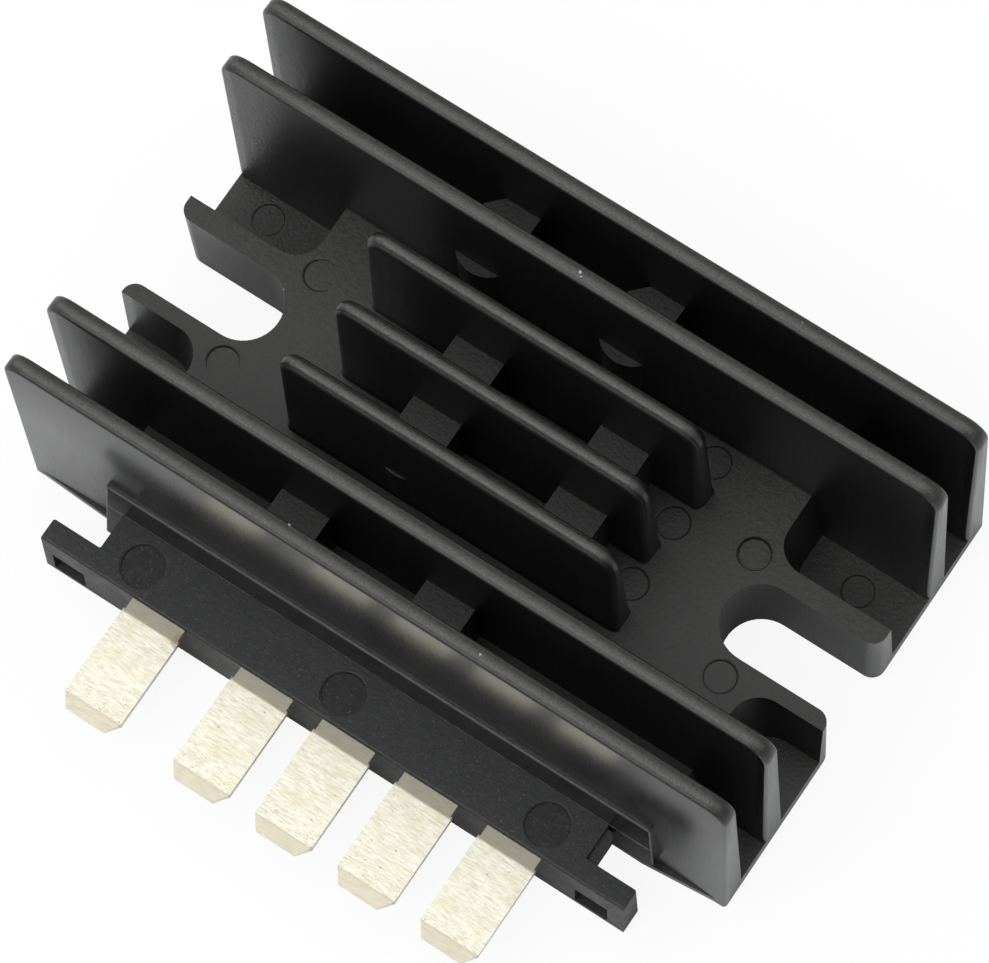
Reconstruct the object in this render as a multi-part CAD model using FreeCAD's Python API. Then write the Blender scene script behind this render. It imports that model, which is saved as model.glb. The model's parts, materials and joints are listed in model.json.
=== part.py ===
import FreeCAD, Part
import math
import os

# Voltage regulator rectifier: a finned aluminium casting that is bolted down through two open slots.
# Its circuit is bonded into a cavity in the underside and covered with resin.
# A moulded strip with five flat blades comes out of the front wall under a small cowl.
# X runs along the fins, -Y is the terminal side, Z is up and z = 0 is the mounting face.
# All sizes are in millimetres.

Vector = FreeCAD.Vector

# Casting: overall
casting_length = 78.4
fin_height = 29.5
pad_top = 11.3
end_floor = 1.9
end_draft_deg = 0.1

# Casting: fins
inner_fin_pitch = 7.0
outer_fin_pitch = 6.7
fin_foot_thickness = 3.1
fin_tip_thickness = 1.75
fin_corner_radius = 2.3
fin_edge_radius = 0.4
side_fin_length = 37.5
middle_fin_length = 34.9
short_fins_x = -0.15
short_fin_edge_radius = 0.8
short_fin_end_draft_deg = 1.2
fin_foot_flare = 0.15

# Casting: mounting slots and the pockets beside them
slot_width = 7.7
slot_spacing = 57.8
slot_offset_y = -0.3
slot_mouth_radius = 1.4
rear_prong_thickness = 2.2
front_prong_thickness = 1.6
rear_pocket_depth = 13.1
front_left_pocket_depth = 9.7
front_right_pocket_depth = 8.0
pocket_corner_radius = 3.0
pocket_side_draft_deg = 3.0
pocket_end_draft_deg = 8.0

# Casting: ejector blocks between the fins and their rounded noses
block_length = 5.3
block_top = 18.6
block_spacing = 16.0
outer_blocks_x = -3.0
inner_blocks_x = 2.1
block_draft_deg = 1.5
block_corner_cut = 1.5
nose_width = 4.8
nose_depth = 1.1
shallow_nose_depth = 0.25
nose_top = 18.2

# Casting: round marks of the ejector pins
pin_mark_radius = 1.6
pin_mark_depth = 0.15
deep_pin_mark_depth = 0.5
channel_mark_inset = 1.8
# Offsets in X and Y from the centre of the slot's round end
left_rear_mark = (4.5, 6.1)
left_front_mark = (1.7, -6.0)
right_rear_mark = (-4.2, 5.4)
right_front_mark = (-0.4, -6.2)
# Distances in from the casting's end and from the fin behind
left_floor_mark = (4.9, 3.8)
right_floor_mark = (6.0, 4.3)

# Casting: cowl over the terminal strip and the rim along the foot of the front fin
cowl_left_overhang = 1.7
cowl_right_overhang = 4.3
cowl_top = 12.0
cowl_proud = 0.7
cowl_front_draft_deg = 5.0
cowl_end_draft_deg = 4.0
cowl_right_lift = 3.3
cowl_edge_radius = 0.25
rim_height = 1.1
rim_left_bulge = 0.35
rim_right_bulge = 0.65
rim_end_gap = 1.2
rim_swell_run = 7.5
rim_chamfer = 0.1

# Casting: cavity for the circuit
cavity_end_wall = 2.05
cavity_side_wall = 3.75
cavity_roof = 3.0
cavity_corner_radius = 2.5
resin_recess = 0.3

# Terminal holder
holder_height = 7.15
holder_left_lap = 4.5
holder_reach = 5.95
holder_front_lean = 0.4
holder_fit = 0.1
holder_edge_radius = 0.3
left_ear_length = 5.3
right_ear_length = 5.6
ear_thickness = 2.2
ear_corner_radius = 0.25
ear_root_radius = 0.2
window_length = 3.6
left_window_inset = 1.0
right_window_inset = 1.8
window_height = 3.4
window_sill = 0.5
ledge_length = 1.05
ledge_drop = 0.5
ledge_thickness = 1.0
ledge_corner_radius = 1.0
right_end_recess = 0.9
right_end_lift = 3.4
holder_mark_radius = 2.15
holder_mark_depth = 0.12
holder_mark_y = 2.95
holder_mark_x = -0.4
holder_mark_spacing = 22.7

# Blade terminals
blade_width = 6.3
blade_thickness = 0.8
blade_reach = 12.15
blade_depth_below_top = 0.4
first_blade_inset = 8.2
first_blade_gap = 12.28
blade_pitch = 9.2
blade_count = 5
last_blade_inset = 6.42
blade_corner_length = 1.4
blade_corner_width = 1.0
blade_bevel_length = 1.35
blade_bevel_depth = 0.25
neck_width = 5.9
neck_length = 1.25
tail_width = 3.2
tail_run = 0.9
tail_rise_run = 0.8
foot_length = 2.4

# Circuit
bond_thickness = 0.2
substrate_thickness = 0.8
substrate_gap = 0.5
substrate_front_gap = 1.3
substrate_back_margin = 2.6
part_pitch = 12.0
row_gap = 1.5
package_width = 6.6
package_depth = 6.1
package_height = 2.3
package_tab_width = 5.3
package_tab_depth = 7.2
package_tab_thickness = 0.5
package_lead_width = 0.8
package_lead_spread = 4.6
package_lead_length = 1.6
diode_length = 6.9
diode_width = 5.9
diode_height = 2.3
diode_lead_width = 3.0
diode_lead_length = 0.5
diode_lead_thickness = 0.3
chip_length = 3.2
chip_width = 1.6
chip_height = 0.6
chip_pitch = 2.6
capacitor_width = 2.5
capacitor_height = 1.7
ic_length = 4.9
ic_width = 3.9
ic_height = 1.5
ic_pin_pitch = 1.27
ic_pin_width = 0.4
ic_pin_length = 1.0
ic_pin_thickness = 0.25
ic_pins_per_side = 4
reference_length = 2.7
reference_width = 1.6
reference_height = 1.1
reference_lead_length = 0.5
body_bevel = 0.25

# Places that follow from the sizes above
half_length = casting_length / 2
outer_fin_y = 2 * inner_fin_pitch + outer_fin_pitch
fin_ys = (
    outer_fin_y,
    2 * inner_fin_pitch,
    inner_fin_pitch,
    0.0,
    -inner_fin_pitch,
    -2 * inner_fin_pitch,
    -outer_fin_y,
)
slot_x = slot_spacing / 2
rear_pocket_y = slot_offset_y + slot_width / 2 + rear_prong_thickness
front_pocket_y = slot_offset_y - slot_width / 2 - front_prong_thickness
foot_face_y = outer_fin_y + fin_foot_thickness / 2
cavity_x = slot_x - slot_width / 2 - cavity_end_wall
cavity_y = foot_face_y - cavity_side_wall
cavity_top = pad_top - cavity_roof
holder_left = -cavity_x - holder_left_lap
first_blade_x = holder_left + first_blade_inset
last_blade_x = first_blade_x + first_blade_gap + (blade_count - 2) * blade_pitch
holder_right = last_blade_x + last_blade_inset
ear_left = holder_left - left_ear_length
ear_right = holder_right + right_ear_length
cowl_left = holder_left - cowl_left_overhang
cowl_right = holder_right + cowl_right_overhang
cowl_front_y = -foot_face_y - cowl_proud
holder_front_y = cowl_front_y - holder_reach
ear_back_y = holder_front_y + ear_thickness
blade_top = holder_height - blade_depth_below_top
blade_bottom = blade_top - blade_thickness
tail_start_y = -cavity_y + tail_run
foot_start_y = tail_start_y + tail_rise_run
foot_end_y = foot_start_y + foot_length
substrate_x = cavity_x - substrate_gap
substrate_front_y = -cavity_y + substrate_front_gap
substrate_under = cavity_top - bond_thickness - substrate_thickness
thyristor_row_y = foot_end_y + row_gap + package_lead_length + package_depth / 2
diode_row_y = thyristor_row_y - package_depth / 2 + package_tab_depth + row_gap + diode_width / 2
control_row_y = diode_row_y + diode_width / 2 + row_gap + ic_width / 2 + ic_pin_length
substrate_back_y = control_row_y + ic_width / 2 + ic_pin_length + substrate_back_margin
overlap = 1.0
length_tolerance = 1e-4


def box(x0, x1, y0, y1, z0, z1):
    """Block between two opposite corners."""
    return Part.makeBox(x1 - x0, y1 - y0, z1 - z0, Vector(x0, y0, z0))


def centred_box(x, y, length, width, z0, z1):
    """Block centred on x, y in plan."""
    return box(x - length / 2, x + length / 2, y - width / 2, y + width / 2, z0, z1)


def along_x(points, x0, x1):
    """Solid with an outline in the YZ plane, extruded from x0 to x1."""
    outline = Part.makePolygon([Vector(x0, y, z) for y, z in points + points[:1]])
    return Part.Face(outline).extrude(Vector(x1 - x0, 0, 0))


def along_y(points, y0, y1):
    """Solid with an outline in the XZ plane, extruded from y0 to y1."""
    outline = Part.makePolygon([Vector(x, y0, z) for x, z in points + points[:1]])
    return Part.Face(outline).extrude(Vector(0, y1 - y0, 0))


def along_z(points, z0, z1):
    """Solid with an outline in plan, extruded from z0 to z1."""
    outline = Part.makePolygon([Vector(x, y, z0) for x, y in points + points[:1]])
    return Part.Face(outline).extrude(Vector(0, 0, z1 - z0))


def fused(pieces):
    """One solid made of all the pieces, with the seams between flush faces removed."""
    pieces = list(pieces)
    return pieces[0].fuse(pieces[1:]).removeSplitter()


def middle(edge):
    """Point halfway along an edge."""
    return edge.valueAt((edge.FirstParameter + edge.LastParameter) / 2)


def upright_edges(shape, wanted):
    """Edges that run straight up, at the places in plan that wanted(x, y) accepts."""
    chosen = []
    for edge in shape.Edges:
        start = edge.Vertexes[0].Point
        end = edge.Vertexes[-1].Point
        upright = math.hypot(end.x - start.x, end.y - start.y) < length_tolerance
        if upright and wanted(middle(edge).x, middle(edge).y):
            chosen.append(edge)
    return chosen


def near(a, b):
    """True where two lengths are the same."""
    return abs(a - b) < length_tolerance


def fin_thickness(z):
    """Thickness of a fin at height z, thinning with the draft of the die."""
    return fin_foot_thickness + (fin_tip_thickness - fin_foot_thickness) * z / fin_height


def fin(centre_x, centre_y, foot_length, draft_deg, edge_radius):
    """One fin: drafted faces and ends, round top corners and rounded edges."""
    foot_half = foot_length / 2
    top_half = foot_half - fin_height * math.tan(math.radians(draft_deg))
    reach = fin_foot_thickness
    side = [
        (centre_x - foot_half, 0),
        (centre_x + foot_half, 0),
        (centre_x + top_half, fin_height),
        (centre_x - top_half, fin_height),
    ]
    plate = along_y(side, centre_y - reach, centre_y + reach)
    corners = [e for e in plate.Edges if near(middle(e).y, centre_y) and near(middle(e).z, fin_height)]
    plate = plate.makeFillet(fin_corner_radius, corners)
    foot = fin_foot_thickness / 2
    tip = fin_tip_thickness / 2
    section = [
        (centre_y - foot, 0),
        (centre_y + foot, 0),
        (centre_y + tip, fin_height),
        (centre_y - tip, fin_height),
    ]
    ends = (centre_x - foot_half - overlap, centre_x + foot_half + overlap)
    body = plate.common(along_x(section, *ends))
    rim = []
    for edge in body.Edges:
        point = middle(edge)
        on_face = near(abs(point.y - centre_y), fin_thickness(point.z) / 2)
        if on_face and point.z > length_tolerance:
            rim.append(edge)
    return body.makeFillet(min(edge_radius, 0.46 * fin_tip_thickness), rim)


def fins():
    """Four fins over the whole length and three short ones between the slots."""
    pieces = []
    for i, y in enumerate(fin_ys):
        if i in (2, 3, 4):
            length = middle_fin_length if i == 3 else side_fin_length
            pieces.append(fin(short_fins_x, y, length, short_fin_end_draft_deg, short_fin_edge_radius))
        else:
            pieces.append(fin(0, y, casting_length, end_draft_deg, fin_edge_radius))
    return pieces


def end_pocket(end, edge_y, depth):
    """Pocket beside a slot, open at one end of the casting: end is -1 or 1, edge_y is the prong's face."""
    side = math.copysign(1, edge_y)

    def outline(z):
        below = pad_top - z
        x_in = half_length - depth + below * math.tan(math.radians(pocket_end_draft_deg))
        y_in = abs(edge_y) + below * math.tan(math.radians(pocket_side_draft_deg))
        x_out = half_length + overlap
        bow = pocket_corner_radius * (1 - math.sqrt(0.5))

        def at(x, y):
            return Vector(end * x, side * y, z)

        corner = Part.Arc(
            at(x_in, y_in + pocket_corner_radius),
            at(x_in + bow, y_in + bow),
            at(x_in + pocket_corner_radius, y_in),
        )
        return Part.Wire(
            [
                Part.makeLine(at(x_in, outer_fin_y), at(x_in, y_in + pocket_corner_radius)),
                corner.toShape(),
                Part.makeLine(at(x_in + pocket_corner_radius, y_in), at(x_out, y_in)),
                Part.makeLine(at(x_out, y_in), at(x_out, outer_fin_y)),
                Part.makeLine(at(x_out, outer_fin_y), at(x_in, outer_fin_y)),
            ]
        )

    return Part.makeLoft([outline(end_floor), outline(pad_top + overlap)], True, True)


def mounting_slot(end):
    """U-shaped slot for a bolt, open at the casting's end."""
    radius = slot_width / 2
    height = pad_top + 2 * overlap
    round_end = Part.makeCylinder(radius, height, Vector(end * slot_x, slot_offset_y, -overlap))
    xs = sorted((end * slot_x, end * (half_length + overlap)))
    straight = box(*xs, slot_offset_y - radius, slot_offset_y + radius, -overlap, pad_top + overlap)
    return round_end.fuse(straight)


def base():
    """The thick plate under the fins, with its pockets and slots."""
    plate = box(-half_length, half_length, -outer_fin_y, outer_fin_y, 0, pad_top)
    cutters = [mounting_slot(-1), mounting_slot(1)]
    cutters += [end_pocket(end, rear_pocket_y, rear_pocket_depth) for end in (-1, 1)]
    cutters.append(end_pocket(-1, front_pocket_y, front_left_pocket_depth))
    cutters.append(end_pocket(1, front_pocket_y, front_right_pocket_depth))
    plate = plate.cut(cutters)
    slot_sides = (slot_offset_y - slot_width / 2, slot_offset_y + slot_width / 2)
    mouth = upright_edges(
        plate, lambda x, y: near(abs(x), half_length) and any(near(y, side) for side in slot_sides)
    )
    thinnest_prong = min(rear_prong_thickness, front_prong_thickness)
    return plate.makeFillet(min(slot_mouth_radius, 0.9 * thinnest_prong), mouth)


def block(x, channel):
    """Ejector block that fills the channel between two neighbouring fins. channel 0 is the rear one."""
    low = pad_top - overlap
    lean = (block_top - low) * math.tan(math.radians(block_draft_deg))
    half = block_length / 2
    side = [(x - half - lean, low), (x + half + lean, low), (x + half, block_top), (x - half, block_top)]
    return along_y(side, fin_ys[channel + 1], fin_ys[channel])


def corner_cut(x):
    """Slanting cut that takes the left rear corner off a block of the rear channel."""
    left = x - block_length / 2
    back = fin_ys[0] - fin_thickness(block_top) / 2
    reach = 2 * overlap
    outline = [
        (left - reach, back - block_corner_cut - reach),
        (left + block_corner_cut + reach, back + reach),
        (left - reach, back + reach),
    ]
    return along_z(outline, pad_top, block_top + overlap)


def nose(x, channel, depth):
    """Round front of a block, standing out of the next fin's front face by the given depth."""
    fin_y = fin_ys[channel + 1]
    front_y = fin_y - fin_thickness(nose_top) / 2
    radius = ((nose_width / 2) ** 2 + nose_depth**2) / (2 * nose_depth)
    low = pad_top - overlap
    centre = Vector(x, front_y - depth + radius, low)
    post = Part.makeCylinder(radius, nose_top - low, centre)
    front_half = box(x - radius, x + radius, front_y - depth, fin_y, low, nose_top)
    return post.common(front_half)


def block_xs(centre_x):
    """The two block centres of a channel."""
    return (centre_x - block_spacing / 2, centre_x + block_spacing / 2)


def blocks():
    """Pairs of blocks in four channels."""
    pieces = [block(x, 0).cut(corner_cut(x)) for x in block_xs(outer_blocks_x)]
    for channel, centre_x in ((2, inner_blocks_x), (3, inner_blocks_x), (5, outer_blocks_x)):
        pieces += [block(x, channel) for x in block_xs(centre_x)]
    return pieces


def noses():
    """Two full noses past the second fin, and a shallow one past the fifth."""
    pieces = [nose(x, 0, nose_depth) for x in block_xs(outer_blocks_x)]
    pieces.append(nose(block_xs(inner_blocks_x)[0], 3, shallow_nose_depth))
    return pieces


def pad_edges(casting, wanted):
    """Edges between the slots that lie on the pad, at the places across it that wanted(y) accepts."""
    chosen = []
    for edge in casting.Edges:
        point = middle(edge)
        heights = [point.z] + [vertex.Point.z for vertex in edge.Vertexes]
        on_pad = all(near(z, pad_top) for z in heights)
        if on_pad and abs(point.x) < slot_x - slot_width / 2 and wanted(point.y):
            chosen.append(edge)
    return chosen


def with_flared_feet(casting):
    """Small flare along the foot of each fin on the pad: the short fins first, then the long ones."""
    half_thickness = fin_thickness(pad_top) / 2
    reach = half_thickness + length_tolerance
    short_fin_ys = fin_ys[2:5]
    under_short_fins = pad_edges(casting, lambda y: any(abs(y - fin_y) < reach for fin_y in short_fin_ys))
    casting = casting.makeChamfer(fin_foot_flare, under_short_fins)
    inner_faces = (fin_ys[1] - half_thickness, fin_ys[5] + half_thickness)
    along_long_fins = pad_edges(casting, lambda y: any(near(y, face) for face in inner_faces))
    return casting.makeChamfer(fin_foot_flare, along_long_fins)


def pin_marks():
    """Shallow round marks that the ejector pins leave on the pad and on the pocket floors."""
    marks = []
    for end, (x, y), depth in (
        (-1, left_rear_mark, pin_mark_depth),
        (-1, left_front_mark, pin_mark_depth),
        (1, right_rear_mark, deep_pin_mark_depth),
        (1, right_front_mark, pin_mark_depth),
    ):
        marks.append((end * slot_x + x, slot_offset_y + y, pad_top, depth))
    for end, (inset, gap) in ((-1, left_floor_mark), (1, right_floor_mark)):
        marks.append((end * (half_length - inset), fin_ys[1] - gap, end_floor, pin_mark_depth))
    short_fins_end = short_fins_x + side_fin_length / 2
    for channel in (1, 2, 3):
        y = (fin_ys[channel] + fin_ys[channel + 1]) / 2
        marks.append((short_fins_end - channel_mark_inset, y, pad_top, pin_mark_depth))
    cutters = []
    for x, y, surface, depth in marks:
        cutters.append(Part.makeCylinder(pin_mark_radius, depth + overlap, Vector(x, y, surface - depth)))
    return cutters


def cowl_front_at(z):
    """Place of the cowl's drafted front face at height z: it stands at cowl_front_y by the strip's top."""
    return cowl_front_y + (z - holder_height) * math.tan(math.radians(cowl_front_draft_deg))


def cowl():
    """Low drafted wall over the terminal strip. Past the strip its right end stops short below."""

    def outline(z):
        front_y = cowl_front_at(z)
        lean = (cowl_top - z) * math.tan(math.radians(cowl_end_draft_deg))
        corners = [
            Vector(cowl_left - lean, front_y, z),
            Vector(cowl_right + lean, front_y, z),
            Vector(cowl_right + lean, -outer_fin_y, z),
            Vector(cowl_left - lean, -outer_fin_y, z),
        ]
        return Part.makePolygon(corners + corners[:1])

    wall = Part.makeLoft([outline(0), outline(cowl_top)], True, True)
    back_y = -outer_fin_y - length_tolerance
    outer_edges = [e for e in wall.Edges if middle(e).y < back_y and middle(e).z > length_tolerance]
    wall = wall.makeFillet(cowl_edge_radius, outer_edges)
    below = box(
        holder_right + holder_fit,
        cowl_right + 2 * overlap,
        cowl_front_y - overlap,
        -foot_face_y,
        -overlap,
        cowl_right_lift,
    )
    return wall.cut(below)


def rim():
    """Thin rim along the foot of the front fin, swelling out towards the cowl."""
    foot_y = -foot_face_y
    end_x = half_length - rim_end_gap
    full_x = end_x - rim_swell_run
    plan = [
        (-end_x, -outer_fin_y),
        (-end_x, foot_y),
        (-full_x, foot_y - rim_left_bulge),
        (full_x, foot_y - rim_right_bulge),
        (end_x, foot_y),
        (end_x, -outer_fin_y),
    ]
    strip = along_z(plan, 0, rim_height)
    front_y = foot_y - length_tolerance
    top = [e for e in strip.Edges if near(middle(e).z, rim_height) and middle(e).y < front_y]
    return strip.makeChamfer(min(rim_chamfer, 0.9 * rim_height), top)


def cavity():
    """Space under the pad for the circuit and its resin."""
    room = box(-cavity_x, cavity_x, -cavity_y, cavity_y, -overlap, cavity_top)
    return room.makeFillet(cavity_corner_radius, upright_edges(room, lambda x, y: y > 0))


def holder_window():
    """Opening in the front wall that the terminal holder sits in."""
    return box(
        holder_left - holder_fit,
        holder_right + holder_fit,
        cowl_front_y - overlap,
        -cavity_y,
        -overlap,
        holder_height + holder_fit,
    )


def heatsink():
    """The whole casting in one piece."""
    casting = with_flared_feet(fused([base(), cowl(), rim()] + fins() + blocks()))
    casting = fused([casting] + noses())
    return casting.cut([cavity(), holder_window()] + pin_marks())


def latch_window(x0):
    """Window through an ear, for the latch of the plug."""
    front = holder_front_y - holder_front_lean - overlap
    back = ear_back_y + overlap
    return box(x0, x0 + window_length, front, back, window_sill, window_sill + window_height)


def terminal_holder(blades):
    """Moulded strip with an ear at each end, moulded round the blades."""
    slope = [(holder_front_y, holder_height), (holder_front_y - holder_front_lean, 0)]
    body = along_x(slope + [(-cavity_y, 0), (-cavity_y, holder_height)], holder_left, holder_right)
    ears = along_x(slope + [(ear_back_y, 0), (ear_back_y, holder_height)], ear_left, ear_right)
    back_corners = upright_edges(ears, lambda x, y: near(y, ear_back_y))
    ears = ears.makeFillet(ear_corner_radius, back_corners)
    ledge_top = holder_height - ledge_drop
    ledge_under = ledge_top - ledge_thickness
    ledge_back_y = cowl_front_at(ledge_under) - holder_fit
    ledge = box(
        holder_right - overlap,
        holder_right + ledge_length,
        ear_back_y - overlap,
        ledge_back_y,
        ledge_under,
        ledge_top,
    )
    ledge_corner = upright_edges(ledge, lambda x, y: x > holder_right and near(y, ledge_back_y))
    ledge = ledge.makeFillet(ledge_corner_radius, ledge_corner)
    strip = fused([body, ears, ledge])
    left_root = upright_edges(strip, lambda x, y: near(x, holder_left) and near(y, ear_back_y))
    strip = strip.makeFillet(ear_root_radius, left_root)
    front_edge = [
        e for e in strip.Edges if near(middle(e).y, holder_front_y) and near(middle(e).z, holder_height)
    ]
    strip = strip.makeFillet(holder_edge_radius, front_edge)
    under_right_end = box(
        holder_right - right_end_recess,
        holder_right + overlap,
        ear_back_y,
        cowl_front_y,
        -overlap,
        right_end_lift,
    )
    cutters = [
        latch_window(ear_left + left_window_inset),
        latch_window(ear_right - right_window_inset - window_length),
        under_right_end,
    ]
    for i in (-1, 0, 1):
        x = holder_mark_x + i * holder_mark_spacing
        place = Vector(x, holder_front_y + holder_mark_y, holder_height - holder_mark_depth)
        cutters.append(Part.makeCylinder(holder_mark_radius, holder_mark_depth + overlap, place))
    return strip.cut(cutters + blades)


def blade_xs():
    """Blade centres: the first stands further off than the rest."""
    second = first_blade_x + first_blade_gap
    return [first_blade_x] + [second + i * blade_pitch for i in range(blade_count - 1)]


def blade(x):
    """Flat terminal: bevelled tip, neck in the holder, and a tail that steps up to the substrate."""
    tip_y = holder_front_y - blade_reach
    shoulder_y = holder_front_y - neck_length
    half = blade_width / 2
    neck = neck_width / 2
    tip_half = half - blade_corner_width
    plan = [
        (x - neck, -cavity_y),
        (x - neck, shoulder_y),
        (x - half, shoulder_y),
        (x - half, tip_y + blade_corner_length),
        (x - tip_half, tip_y),
        (x + tip_half, tip_y),
        (x + half, tip_y + blade_corner_length),
        (x + half, shoulder_y),
        (x + neck, shoulder_y),
        (x + neck, -cavity_y),
    ]
    flat = along_z(plan, blade_bottom, blade_top)
    bevels = []
    for surface, inward in ((blade_top, -1), (blade_bottom, 1)):
        wedge = [
            (tip_y + blade_bevel_length, surface),
            (tip_y - overlap, surface + inward * blade_bevel_depth * (1 + overlap / blade_bevel_length)),
            (tip_y - overlap, surface),
        ]
        bevels.append(along_x(wedge, x - half - overlap, x + half + overlap))
    flat = flat.cut(bevels)
    tail = along_x(
        [
            (-cavity_y, blade_bottom),
            (tail_start_y, blade_bottom),
            (foot_start_y, substrate_under - blade_thickness),
            (foot_end_y, substrate_under - blade_thickness),
            (foot_end_y, substrate_under),
            (foot_start_y, substrate_under),
            (tail_start_y, blade_top),
            (-cavity_y, blade_top),
        ],
        x - tail_width / 2,
        x + tail_width / 2,
    )
    return fused([flat, tail])


def plate_on_roof(z0, z1):
    """Flat plate with the substrate's outline."""
    return box(-substrate_x, substrate_x, substrate_front_y, substrate_back_y, z0, z1)


def bevelled_body(x, y, length, width, z0, z1):
    """Moulded package body, bevelled round its lower face."""
    body = centred_box(x, y, length, width, z0, z1)
    return body.makeChamfer(body_bevel, [e for e in body.Edges if near(middle(e).z, z0)])


def thyristor(x):
    """Surface-mount power package: a tab under the body, and two leads at the terminal side."""
    y = thyristor_row_y
    top = substrate_under
    body = bevelled_body(x, y, package_width, package_depth, top - package_height, top)
    plate_z = top - package_tab_thickness
    tab_y = y + (package_tab_depth - package_depth) / 2
    tab = centred_box(x, tab_y, package_tab_width, package_tab_depth, plate_z, top)
    lead_y = y - package_depth / 2 - package_lead_length / 2
    leads = []
    for side in (-1, 1):
        lead_x = x + side * package_lead_spread / 2
        lead_run = package_lead_length + overlap
        leads.append(
            centred_box(lead_x, lead_y + overlap / 2, package_lead_width, lead_run, plate_z, top)
        )
    return fused([body, tab] + leads)


def two_lead_package(x, y, length, width, height, lead_width, lead_length):
    """Moulded body with a flat lead at each end, lying along X."""
    top = substrate_under
    body = bevelled_body(x, y, length, width, top - height, top)
    run = length + 2 * lead_length
    leads = centred_box(x, y, run, lead_width, top - diode_lead_thickness, top)
    return fused([body, leads])


def control_ic(x):
    """Control circuit in a moulded package with a row of leads along each side."""
    top = substrate_under
    y = control_row_y
    pieces = [bevelled_body(x, y, ic_length, ic_width, top - ic_height, top)]
    run = ic_width + 2 * ic_pin_length
    for i in range(ic_pins_per_side):
        pin_x = x + (i - (ic_pins_per_side - 1) / 2) * ic_pin_pitch
        pieces.append(centred_box(pin_x, y, ic_pin_width, run, top - ic_pin_thickness, top))
    return fused(pieces)


def chip(x, y, width, height):
    """Plain chip resistor or capacitor, lying along Y."""
    return centred_box(x, y, width, chip_length, substrate_under - height, substrate_under)


def circuit():
    """Every piece on the substrate, with the name of its node."""
    pieces = {}
    for i in range(3):
        x = (i - 1) * part_pitch
        pieces[f"thyristor_{i + 1}"] = thyristor(x)
        pieces[f"rectifier_diode_{i + 1}"] = two_lead_package(
            x, diode_row_y, diode_length, diode_width, diode_height, diode_lead_width, diode_lead_length
        )
    pieces["control_ic"] = control_ic(0)
    pieces["reference_diode"] = two_lead_package(
        -part_pitch / 2,
        control_row_y,
        reference_length,
        reference_width,
        reference_height,
        chip_height,
        reference_lead_length,
    )
    for i in range(3):
        x = part_pitch / 2 + i * chip_pitch
        pieces[f"gate_resistor_{i + 1}"] = chip(x, control_row_y, chip_width, chip_height)
    for i in range(2):
        x = -part_pitch + i * chip_pitch - chip_pitch / 2
        pieces[f"divider_resistor_{i + 1}"] = chip(x, control_row_y, chip_width, chip_height)
    capacitor_x = -part_pitch - 2 * chip_pitch
    pieces["timing_capacitor"] = chip(capacitor_x, control_row_y, capacitor_width, capacitor_height)
    return pieces


def potting_compound(sunk_pieces):
    """Resin that fills the rest of the cavity, a little short of the mounting face."""
    below = box(-cavity_x, cavity_x, -cavity_y, cavity_y, -overlap, resin_recess)
    return cavity().cut([below] + sunk_pieces)


def build():
    """All nodes of the part by name."""
    blades = [blade(x) for x in blade_xs()]
    nodes = {"heatsink": heatsink(), "terminal_holder": terminal_holder(blades)}
    for i, terminal in enumerate(blades):
        nodes[f"blade_terminal_{i + 1}"] = terminal
    nodes["bond_sheet"] = plate_on_roof(cavity_top - bond_thickness, cavity_top)
    nodes["circuit_substrate"] = plate_on_roof(substrate_under, cavity_top - bond_thickness)
    nodes.update(circuit())
    sunk = [shape for name, shape in nodes.items() if name != "heatsink"]
    nodes["potting_compound"] = potting_compound(sunk)
    return nodes


os.makedirs("parts", exist_ok=True)
for node, shape in build().items():
    shape.exportStep(f"parts/{node}.step")
    print(node, "solids", len(shape.Solids), "valid", shape.isValid(), "volume", round(shape.Volume, 2))
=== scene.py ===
import json
import math

import bpy
from mathutils import Matrix, Vector

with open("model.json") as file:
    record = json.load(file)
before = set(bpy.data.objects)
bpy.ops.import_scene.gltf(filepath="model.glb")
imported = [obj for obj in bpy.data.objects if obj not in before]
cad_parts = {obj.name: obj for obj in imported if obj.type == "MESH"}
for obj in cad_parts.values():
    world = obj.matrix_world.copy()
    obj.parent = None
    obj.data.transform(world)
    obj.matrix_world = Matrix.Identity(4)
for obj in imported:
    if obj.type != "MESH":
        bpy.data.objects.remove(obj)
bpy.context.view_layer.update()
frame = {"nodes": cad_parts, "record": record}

# Looks of a voltage regulator rectifier: a black painted die casting with fins, a black terminal
# strip and five tinned blades. Everything is in metres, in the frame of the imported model.

mm = 0.001
nodes = frame["nodes"]


# Camera, solved from the photograph
PICTURE_WIDTH = 989.0
FOCAL_PIXELS = 5789.6
SENSOR_WIDTH = 36.0
CAMERA_EYE = (112.616, -125.874, 521.444)
CAMERA_RIGHT = (0.8293372, 0.5567713, -0.0469631)
CAMERA_DOWN = (0.5183811, -0.7980652, -0.3072019)
CAMERA_FORWARD = (-0.2085208, 0.2304292, -0.9504848)


# Shape of the casting and the blades that the finishes follow, in millimetres
FIN_PITCH = 7.0
OUTER_FIN_SHIFT = 0.3
FIN_TOP = 29.5
RIDGE_FROM, RIDGE_FULL = 28.9, 29.35
COWL_FOOT_LINE = 7.30
BLADE_CREASE = -39.72
BLADE_SEAM = -30.44

# Slight forms of the fins that are only in the finish, in millimetres
CROWN_HEIGHT = 0.127
CROWN_FALL = -0.42
DRAW_IN_FROM = 17.0
DRAW_IN_FRONT_FIN = -0.72
DRAW_IN_OTHER_FINS = -0.25

# Table and light
TABLE_HALF = 2.0
TABLE_DROP = -0.05
LIGHT_AROUND = 0.68
TARGET = (0.0, 0.0, 0.0)


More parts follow.
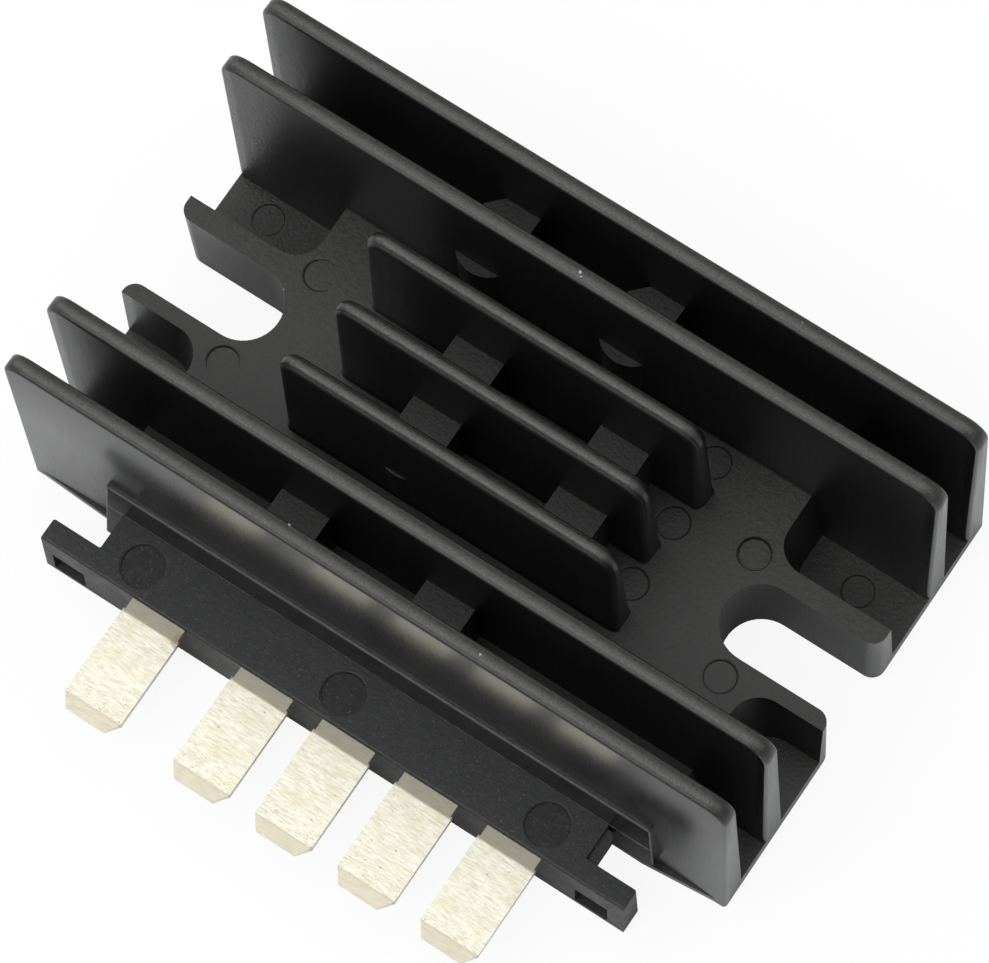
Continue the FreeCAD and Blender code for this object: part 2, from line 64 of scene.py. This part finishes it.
def make_camera():
    """Pinhole camera: its columns are right, up and backwards, and its place is the eye."""
    data = bpy.data.cameras.new("camera")
    data.sensor_fit = "HORIZONTAL"
    data.sensor_width = SENSOR_WIDTH
    data.lens = SENSOR_WIDTH * FOCAL_PIXELS / PICTURE_WIDTH
    data.clip_start = 0.01
    data.clip_end = 10.0
    camera = bpy.data.objects.new("camera", data)
    right = Vector(CAMERA_RIGHT)
    up = -Vector(CAMERA_DOWN)
    back = -Vector(CAMERA_FORWARD)
    matrix = Matrix((right, up, back)).transposed().to_4x4()
    matrix.translation = Vector(CAMERA_EYE) * mm
    camera.matrix_world = matrix
    bpy.context.scene.collection.objects.link(camera)
    bpy.context.scene.camera = camera


class Shade:
    """A material's node tree with short ways to add and join its nodes."""

    def __init__(self, name):
        self.material = bpy.data.materials.new(name)
        self.material.use_nodes = True
        self.tree = self.material.node_tree
        self.tree.nodes.clear()
        self.output = self.add("ShaderNodeOutputMaterial")

    def add(self, kind, **settings):
        node = self.tree.nodes.new(kind)
        for key, value in settings.items():
            setattr(node, key, value)
        return node

    def join(self, source, target):
        """source is a socket or a plain number or colour."""
        if isinstance(source, bpy.types.NodeSocket):
            self.tree.links.new(source, target)
        else:
            target.default_value = source

    def place(self, scale=(1.0, 1.0, 1.0), turn=(0.0, 0.0, 0.0)):
        """Object coordinates in millimetres, stretched by scale."""
        coordinates = self.add("ShaderNodeTexCoord")
        mapping = self.add("ShaderNodeMapping")
        mapping.inputs["Scale"].default_value = [1000.0 * s for s in scale]
        mapping.inputs["Rotation"].default_value = turn
        self.join(coordinates.outputs["Object"], mapping.inputs["Vector"])
        return mapping.outputs["Vector"]

    def noise(self, where, scale, detail=3.0, roughness=0.55, distortion=0.0):
        node = self.add("ShaderNodeTexNoise")
        self.join(where, node.inputs["Vector"])
        node.inputs["Scale"].default_value = scale
        node.inputs["Detail"].default_value = detail
        node.inputs["Roughness"].default_value = roughness
        node.inputs["Distortion"].default_value = distortion
        return node.outputs["Fac"]

    def math(self, operation, a, b=0.0):
        node = self.add("ShaderNodeMath", operation=operation)
        self.join(a, node.inputs[0])
        self.join(b, node.inputs[1])
        return node.outputs[0]

    def span(self, value, low, high, to_low=0.0, to_high=1.0, smooth=True):
        """value from low..high carried to to_low..to_high."""
        node = self.add("ShaderNodeMapRange")
        node.interpolation_type = "SMOOTHSTEP" if smooth else "LINEAR"
        self.join(value, node.inputs["Value"])
        node.inputs["From Min"].default_value = low
        node.inputs["From Max"].default_value = high
        node.inputs["To Min"].default_value = to_low
        node.inputs["To Max"].default_value = to_high
        return node.outputs["Result"]

    def blend(self, share, a, b):
        """Colour a where share is 0, b where it is 1."""
        node = self.add("ShaderNodeMix", data_type="RGBA")
        self.join(share, node.inputs[0])
        self.join(a if isinstance(a, bpy.types.NodeSocket) else (*a, 1.0), node.inputs[6])
        self.join(b if isinstance(b, bpy.types.NodeSocket) else (*b, 1.0), node.inputs[7])
        return node.outputs[2]

    def bump(self, height, depth, before=None):
        """Bump whose height of 0..1 is depth millimetres."""
        node = self.add("ShaderNodeBump")
        node.inputs["Strength"].default_value = 1.0
        node.inputs["Distance"].default_value = depth * mm
        self.join(height, node.inputs["Height"])
        if before is not None:
            self.join(before, node.inputs["Normal"])
        return node.outputs["Normal"]

    def up_facing(self, low, high):
        """0 where the face's upward share is low, 1 where it is high."""
        geometry = self.add("ShaderNodeNewGeometry")
        split = self.add("ShaderNodeSeparateXYZ")
        self.join(geometry.outputs["Normal"], split.inputs[0])
        return self.span(split.outputs["Z"], low, high)

    def axes(self, where):
        """The three parts of a place, in millimetres."""
        split = self.add("ShaderNodeSeparateXYZ")
        self.join(where, split.inputs[0])
        return split.outputs["X"], split.outputs["Y"], split.outputs["Z"]

    def distance(self, where, point):
        """Distance from a fixed point, in millimetres."""
        node = self.add("ShaderNodeVectorMath", operation="DISTANCE")
        self.join(where, node.inputs[0])
        node.inputs[1].default_value = point
        return node.outputs["Value"]

    def spots(self, where, places):
        """1 inside the small round spots listed as (x, y, z, radius), 0 outside."""
        total = None
        for x, y, z, radius in places:
            near = self.span(self.distance(where, (x, y, z)), 0.6 * radius, radius, 1.0, 0.0)
            total = near if total is None else self.math("MAXIMUM", total, near)
        return total

    def rings(self, where, circles, half_width):
        """1 on the outlines of upright circles, fading out over half_width.

        A circle is x, y, radius, the angle in degrees of its darkest side, and how dark the other side is.
        """
        flat = self.add("ShaderNodeVectorMath", operation="MULTIPLY")
        self.join(where, flat.inputs[0])
        flat.inputs[1].default_value = (1.0, 1.0, 0.0)
        total = None
        for x, y, radius, side, faint in circles:
            off = self.math("SUBTRACT", self.distance(flat.outputs[0], (x, y, 0.0)), radius)
            line = self.span(self.math("ABSOLUTE", off), 0.3 * half_width, half_width, 1.0, 0.0)
            angle = math.radians(side)
            along = self.add("ShaderNodeVectorMath", operation="DOT_PRODUCT")
            self.join(flat.outputs[0], along.inputs[0])
            along.inputs[1].default_value = (math.cos(angle), math.sin(angle), 0.0)
            centre = x * math.cos(angle) + y * math.sin(angle)
            lean = self.span(along.outputs["Value"], centre - 0.5 * radius, centre + 0.7 * radius, faint, 1.0)
            line = self.math("MULTIPLY", line, lean)
            total = line if total is None else self.math("MAXIMUM", total, line)
        return total

    def discs(self, where, circles):
        """1 inside upright circles, given as for rings."""
        flat = self.add("ShaderNodeVectorMath", operation="MULTIPLY")
        self.join(where, flat.inputs[0])
        flat.inputs[1].default_value = (1.0, 1.0, 0.0)
        total = None
        for x, y, radius, *_ in circles:
            inside = self.span(self.distance(flat.outputs[0], (x, y, 0.0)), radius - 0.1, radius, 1.0, 0.0)
            total = inside if total is None else self.math("MAXIMUM", total, inside)
        return total

    def across_fin(self, y):
        """Distance across the nearest fin's middle plane, towards +Y, in millimetres."""
        past_inner = self.span(self.math("ABSOLUTE", y), 17.2, 17.4, 0.0, OUTER_FIN_SHIFT)
        outer = self.math("MULTIPLY", self.math("SIGN", y), past_inner)
        near = self.add("ShaderNodeMath", operation="WRAP")
        self.join(self.math("ADD", y, outer), near.inputs[0])
        near.inputs[1].default_value = 0.5 * FIN_PITCH
        near.inputs[2].default_value = -0.5 * FIN_PITCH
        return near.outputs[0]

    def surface(self, colour, roughness, normal=None, metallic=0.0, specular=0.5):
        shader = self.add("ShaderNodeBsdfPrincipled")
        self.join(colour if isinstance(colour, bpy.types.NodeSocket) else (*colour, 1.0),
                  shader.inputs["Base Color"])
        self.join(roughness, shader.inputs["Roughness"])
        self.join(metallic, shader.inputs["Metallic"])
        shader.inputs["Specular IOR Level"].default_value = specular
        if normal is not None:
            self.join(normal, shader.inputs["Normal"])
        self.join(shader.outputs[0], self.output.inputs["Surface"])
        return shader


# Rims of the ejector-pin marks, drawn as painted shade that is heaviest on one side: x, y, radius, darkest
# side in degrees, darkness of the other side
PIN_RIM_SHADE_RINGS = (
    (-24.4, 5.8, 1.6, 235.0, 0.05), (-27.2, -6.3, 1.6, 124.0, 0.0), (-34.3, 10.2, 1.6, 33.0, 0.2),
    (24.7, 5.1, 1.6, 124.0, 0.85), (28.5, -6.5, 1.6, 33.0, 0.6), (33.2, 9.7, 1.6, 213.0, 0.6),
    (16.8, 10.5, 1.6, 33.0, 0.5), (16.8, 3.5, 1.6, 33.0, 0.5), (16.8, -3.5, 1.6, 33.0, 0.5),
)
MOULDED_RINGS = (
    (-23.1, -25.95, 2.15, 213.0, 0.2), (-0.4, -25.95, 2.15, 150.0, 0.2), (22.3, -25.95, 2.15, 180.0, 0.5),
)

# Small chips where the paint is knocked off, as x, y, z and radius
CHIPS = (
    (0.1, 14.15, 29.5, 0.2), (0.4, 13.8, 29.45, 0.14), (19.6, 21.0, 29.45, 0.16), (12.6, -20.7, 29.5, 0.16),
    (-26.5, 2.7, 11.3, 0.16), (31.6, 12.8, 13.6, 0.09), (-8.5, -19.9, 29.35, 0.24),
)


def black_paint():
    """Black paint: satin on the upright faces, grained on the level ones; its colour also carries painted
    highlights along the ridges and the cowl's edges, and painted shade in the pin-mark rims.
    """
    s = Shade("black_paint")
    where = s.place()
    x, y, z = s.axes(where)
    level = s.up_facing(0.5, 0.95)
    grain = s.noise(where, 2.7, 3.0, 0.6)
    fine = s.noise(where, 5.5, 2.0, 0.5)
    mottle = s.noise(where, 0.8, 4.0, 0.6)
    cloud = s.noise(where, 0.10, 3.0)
    drawn = s.noise(s.place((3.0, 3.0, 0.12)), 1.6, 4.0, 0.6)
    ring = s.math("MULTIPLY", s.rings(where, PIN_RIM_SHADE_RINGS, 0.11), level)
    chip = s.math("MULTIPLY", s.spots(where, CHIPS), s.span(fine, 0.40, 0.55))

    across = s.across_fin(y)
    on_ridge = s.span(z, RIDGE_FROM, RIDGE_FULL)
    # Painted highlight: a lighter streak on the front side of each fin's ridge, broken up by noise.
    ridge_highlight = s.math("MULTIPLY", s.span(across, -0.60, -0.22), s.span(across, -0.12, 0.45, 1.0, 0.0))
    ridge_highlight = s.math("MULTIPLY", s.math("MULTIPLY", ridge_highlight, on_ridge), s.span(fine, 0.30, 0.62, 0.35, 1.0))

    side = s.blend(cloud, (0.0045, 0.0045, 0.0055), (0.0075, 0.0075, 0.0085))
    top = s.blend(s.span(grain, 0.30, 0.70), (0.0070, 0.0070, 0.0058), (0.0250, 0.0250, 0.0210))
    # Light specks on the level faces: dust, and painted glints of the grain.
    top = s.blend(s.math("MULTIPLY", s.span(fine, 0.62, 0.76), 0.45), top, (0.080, 0.080, 0.066))
    # The ridges get their painted highlight colour here.
    top = s.blend(ridge_highlight, top, (0.060, 0.058, 0.052))
    colour = s.blend(level, side, top)
    # Painted highlights: a light line along the cowl's top edge and a brighter line along its foot, made
    # patchy by noise.
    lip_highlight = s.math("MULTIPLY", s.span(y, -22.45, -22.30, 1.0, 0.0), s.span(z, 11.85, 12.0))
    foot_highlight = s.span(s.math("ABSOLUTE", s.math("SUBTRACT", z, COWL_FOOT_LINE)), 0.15, 0.30, 1.0, 0.0)
    foot_highlight = s.math("MULTIPLY", foot_highlight, s.span(y, -22.7, -22.5, 1.0, 0.0))
    patchy = s.span(mottle, 0.35, 0.6, 0.4, 1.0)
    colour = s.blend(s.math("MULTIPLY", lip_highlight, patchy), colour, (0.060, 0.059, 0.056))
    colour = s.blend(s.math("MULTIPLY", foot_highlight, patchy), colour, (0.105, 0.103, 0.098))
    # Painted shade: dark rims of the pin marks, heaviest on one side.
    colour = s.blend(s.math("MULTIPLY", ring, 0.85), colour, (0.001, 0.001, 0.001))
    colour = s.blend(chip, colour, (0.34, 0.33, 0.29))

    rough_side = s.span(drawn, 0.3, 0.7, 0.22, 0.27)
    not_an_end = s.span(s.math("ABSOLUTE", x), 37.6, 38.4, 1.0, 0.0)
    inner = s.math("MULTIPLY", s.span(y, -20.9, -20.3, 0.0, 0.14), not_an_end)
    rough_side = s.math("ADD", rough_side, inner)
    in_slot = s.span(s.math("ABSOLUTE", y), 4.0, 5.0, 1.0, 0.0)
    slot_wall = s.math("MULTIPLY", s.span(z, 6.0, 12.5, 0.06, 0.0), in_slot)
    rough_side = s.math("ADD", rough_side, slot_wall)
    rough_top = s.span(grain, 0.3, 0.7, 0.38, 0.50)
    roughness = s.add("ShaderNodeMix", data_type="FLOAT")
    s.join(level, roughness.inputs[0])
    s.join(rough_side, roughness.inputs[2])
    s.join(rough_top, roughness.inputs[3])

    crown = s.math("MULTIPLY", s.math("MULTIPLY", across, across), CROWN_FALL)
    crown = s.math("MAXIMUM", s.math("ADD", crown, CROWN_HEIGHT), 0.0)
    crown = s.math("MULTIPLY", crown, s.span(z, 15.0, 25.0))
    draw_in = s.span(z, DRAW_IN_FROM, FIN_TOP, smooth=False)
    draw_in = s.math("MULTIPLY", draw_in, draw_in)
    draw_in = s.math("MULTIPLY", draw_in, s.span(y, -18.5, -16.5, DRAW_IN_FRONT_FIN, DRAW_IN_OTHER_FINS))
    shape = s.bump(s.math("ADD", crown, draw_in), 1.0)
    crumple = s.math("MULTIPLY", s.span(x, -37.5, -30.0, 1.0, 0.0), s.span(y, 10.0, 12.5))
    crumple = s.math("MULTIPLY", crumple, s.noise(where, 1.9, 4.0, 0.65))
    peel = s.bump(mottle, 0.006, shape)
    peel = s.bump(drawn, 0.0005, peel)
    peel = s.bump(crumple, 0.09, peel)
    grained = s.add("ShaderNodeMix", data_type="VECTOR")
    s.join(level, grained.inputs[0])
    s.join(peel, grained.inputs[4])
    s.join(s.bump(grain, 0.050, peel), grained.inputs[5])
    unit = s.add("ShaderNodeVectorMath", operation="NORMALIZE")
    s.join(grained.outputs[1], unit.inputs[0])
    normal = s.bump(s.math("SUBTRACT", 1.0, ring), 0.05, unit.outputs[0])
    s.surface(colour, roughness.outputs[0], normal)
    return s.material


def black_plastic():
    """Moulded black plastic: fine sparked grain, smudges, faint specks and dull discs at the pins."""
    s = Shade("black_plastic")
    where = s.place()
    level = s.up_facing(0.5, 0.95)
    grain = s.noise(where, 5.0, 3.0, 0.6)
    smudge = s.noise(where, 0.35, 5.0, 0.65, 0.4)
    mottle = s.noise(where, 1.6, 4.0, 0.7)
    wipe = s.noise(s.place((0.5, 1.4, 1.0), (0.0, 0.0, 0.5)), 0.9, 6.0, 0.7, 0.5)
    ring = s.math("MULTIPLY", s.rings(where, MOULDED_RINGS, 0.15), level)
    disc = s.math("MULTIPLY", s.discs(where, MOULDED_RINGS), level)
    speck = s.span(s.noise(where, 3.8, 2.0, 0.5), 0.62, 0.74)
    colour = s.blend(s.span(smudge, 0.35, 0.7), (0.0100, 0.0102, 0.0104), (0.0185, 0.0188, 0.0185))
    colour = s.blend(s.math("MULTIPLY", s.span(mottle, 0.45, 0.70), 0.5), colour, (0.030, 0.030, 0.028))
    colour = s.blend(s.math("MULTIPLY", s.span(wipe, 0.58, 0.75), 0.35), colour, (0.055, 0.054, 0.050))
    dull = s.math("MULTIPLY", disc, s.span(wipe, 0.38, 0.60, 0.75, 0.25))
    colour = s.blend(dull, colour, (0.004, 0.004, 0.004))
    colour = s.blend(s.math("MULTIPLY", ring, 0.6), colour, (0.002, 0.002, 0.002))
    colour = s.blend(s.math("MULTIPLY", speck, 0.45), colour, (0.11, 0.11, 0.10))
    roughness = s.math("ADD", s.span(smudge, 0.3, 0.7, 0.40, 0.54), s.span(grain, 0.3, 0.7, -0.04, 0.04))
    roughness = s.math("ADD", roughness, s.math("MULTIPLY", disc, 0.12))
    normal = s.bump(s.math("SUBTRACT", 1.0, ring), 0.03, s.bump(grain, 0.028, s.bump(mottle, 0.020)))
    s.surface(colour, roughness, normal, specular=0.4)
    return s.material


def tinned_metal():
    """Dull tin plate: short streaks across the blade, stains towards the tip, painted shade in a band at the
    strip, on the tip bevels and along the crease, and a painted shadow at one root corner.
    """
    s = Shade("tinned_metal")
    where = s.place()
    y = s.axes(where)[1]
    streak = s.noise(s.place((0.55, 3.6, 3.6)), 1.7, 5.0, 0.7, 0.25)
    fine = s.noise(s.place((0.9, 5.0, 5.0)), 2.6, 3.0, 0.6, 0.2)
    cloud = s.noise(where, 0.45, 5.0, 0.6, 0.3)
    speck = s.span(s.noise(s.place((0.7, 1.6, 1.0)), 2.6, 2.0, 0.5), 0.70, 0.77)
    tip = s.span(y, -40.2, -35.5, 1.0, 0.15)
    pale = s.blend(s.span(streak, 0.3, 0.65), (0.66, 0.62, 0.48), (0.86, 0.84, 0.73))
    colour = s.blend(s.span(cloud, 0.40, 0.72, 0.0, 0.55), pale, (0.70, 0.64, 0.46))
    stained = s.math("MULTIPLY", s.span(fine, 0.52, 0.70), tip)
    colour = s.blend(s.math("MULTIPLY", stained, 0.75), colour, (0.36, 0.31, 0.19))
    colour = s.blend(s.math("MULTIPLY", speck, 0.75), colour, (0.15, 0.14, 0.10))
    # Painted shade: the tip bevels are darkened.
    bevel_shade = s.math("MULTIPLY", s.up_facing(0.5, 0.8), s.span(y, -39.80, -39.65, 1.0, 0.0))
    colour = s.blend(s.math("MULTIPLY", bevel_shade, 0.9), colour, (0.42, 0.385, 0.30))
    # Painted shade: a broken dark line along the crease near the tip.
    crease_shade = s.span(s.math("ABSOLUTE", s.math("SUBTRACT", y, BLADE_CREASE)), 0.04, 0.14, 1.0, 0.0)
    broken = s.math("MULTIPLY", crease_shade, s.span(streak, 0.35, 0.6, 0.3, 1.0))
    colour = s.blend(s.math("MULTIPLY", broken, 0.6), colour, (0.30, 0.265, 0.18))
    # Painted shade: a darker band on the blade next to the strip.
    root_shade = s.span(y, -30.46, -30.32)
    colour = s.blend(s.math("MULTIPLY", root_shade, 0.88), colour, (0.26, 0.245, 0.19))
    seam = s.span(s.math("ABSOLUTE", s.math("SUBTRACT", y, BLADE_SEAM)), 0.03, 0.10, 1.0, 0.0)
    colour = s.blend(s.math("MULTIPLY", seam, 0.35), colour, (0.20, 0.18, 0.13))
    # Painted shadow: brown spots at the corner where a blade leaves the strip.
    root_corner_shadow = s.spots(where, ((-16.1, -30.1, 6.75, 1.0), (-15.3, -29.8, 6.75, 0.7)))
    colour = s.blend(s.math("MULTIPLY", root_corner_shadow, 0.5), colour, (0.25, 0.17, 0.09))
    roughness = s.span(streak, 0.25, 0.7, 0.52, 0.38)
    s.surface(colour, roughness, s.bump(streak, 0.012), metallic=0.85)
    return s.material


def plain(name, colour, roughness, variation, grain_scale, depth):
    """Finish for the pieces under the resin: slight mottling of one colour."""
    s = Shade(name)
    where = s.place()
    grain = s.noise(where, grain_scale, 4.0, 0.6)
    darker = tuple(c * (1.0 - variation) for c in colour)
    tone = s.blend(s.span(grain, 0.3, 0.7), darker, colour)
    s.surface(tone, s.span(grain, 0.3, 0.7, roughness - 0.05, roughness + 0.05), s.bump(grain, depth))
    return s.material


def dress_nodes():
    """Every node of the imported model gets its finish."""
    finishes = {
        "black_paint": black_paint(),
        "black_plastic": black_plastic(),
        "tinned_metal": tinned_metal(),
        "resin": plain("resin", (0.014, 0.014, 0.015), 0.35, 0.3, 0.4, 0.02),
        "bond_rubber": plain("bond_rubber", (0.55, 0.55, 0.57), 0.8, 0.1, 2.0, 0.01),
        "white_ceramic": plain("white_ceramic", (0.82, 0.82, 0.78), 0.45, 0.05, 2.0, 0.004),
        "package_plastic": plain("package_plastic", (0.028, 0.028, 0.028), 0.6, 0.2, 6.0, 0.006),
        "chip_ceramic": plain("chip_ceramic", (0.045, 0.045, 0.055), 0.4, 0.2, 4.0, 0.004),
        "capacitor_ceramic": plain("capacitor_ceramic", (0.42, 0.30, 0.18), 0.5, 0.15, 4.0, 0.004),
    }
    for part in frame["record"]["subparts"]:
        mesh = nodes[part["node"]].data
        mesh.materials.clear()
        mesh.materials.append(finishes[part["material_slot"]])


def light_table():
    """White floor, lit and shaded like any surface, and nearly pure white where the camera looks at it."""
    s = Shade("light_table")
    path = s.add("ShaderNodeLightPath")
    lit = s.add("ShaderNodeBsdfDiffuse")
    lit.inputs["Color"].default_value = (0.88, 0.88, 0.88, 1.0)
    glow = s.add("ShaderNodeEmission")
    glow.inputs["Strength"].default_value = 1.0
    mix = s.add("ShaderNodeMixShader")
    s.join(s.math("MULTIPLY", path.outputs["Is Camera Ray"], 0.9), mix.inputs[0])
    s.join(lit.outputs[0], mix.inputs[1])
    s.join(glow.outputs[0], mix.inputs[2])
    s.join(mix.outputs[0], s.output.inputs["Surface"])
    half = TABLE_HALF
    z = TABLE_DROP * mm
    mesh = bpy.data.meshes.new("light_table")
    corners = [(-half, -half, z), (half, -half, z), (half, half, z), (-half, half, z)]
    mesh.from_pydata(corners, [], [(0, 1, 2, 3)])
    mesh.materials.append(s.material)
    table = bpy.data.objects.new("light_table", mesh)
    bpy.context.scene.collection.objects.link(table)


def light_tent():
    """Even pale light from all round, pure white where the camera looks past the object."""
    world = bpy.data.worlds.new("light_tent")
    bpy.context.scene.world = world
    world.use_nodes = True
    tree = world.node_tree
    tree.nodes.clear()
    output = tree.nodes.new("ShaderNodeOutputWorld")
    path = tree.nodes.new("ShaderNodeLightPath")
    white = tree.nodes.new("ShaderNodeBackground")
    white.inputs["Strength"].default_value = 1.0
    white.inputs["Color"].default_value = (1.0, 1.0, 1.0, 1.0)
    around = tree.nodes.new("ShaderNodeBackground")
    around.inputs["Strength"].default_value = LIGHT_AROUND
    around.inputs["Color"].default_value = (0.97, 0.985, 1.0, 1.0)
    mix = tree.nodes.new("ShaderNodeMixShader")
    tree.links.new(path.outputs["Is Camera Ray"], mix.inputs[0])
    tree.links.new(around.outputs[0], mix.inputs[1])
    tree.links.new(white.outputs[0], mix.inputs[2])
    tree.links.new(mix.outputs[0], output.inputs["Surface"])


def soft_box(name, place, target, width, height, power):
    """Rectangular lamp at place, facing target; sizes in metres and power in watts."""
    data = bpy.data.lights.new(name, "AREA")
    data.shape = "RECTANGLE"
    data.size = width
    data.size_y = height
    data.energy = power
    lamp = bpy.data.objects.new(name, data)
    lamp.location = place
    lamp.rotation_mode = "QUATERNION"
    lamp.rotation_quaternion = (Vector(target) - Vector(place)).to_track_quat("-Z", "Y")
    bpy.context.scene.collection.objects.link(lamp)


make_camera()
light_tent()
light_table()
soft_box("roof_box", (-0.30, 0.35, 1.45), TARGET, 1.8, 1.6, 6.5)
soft_box("front_box", (-0.28, -0.68, 1.18), TARGET, 0.8, 0.6, 6.5)
soft_box("left_box", (-1.00, 0.20, 0.45), TARGET, 0.7, 0.4, 2.0)
dress_nodes()

scene = bpy.context.scene
scene.view_settings.view_transform = "Standard"
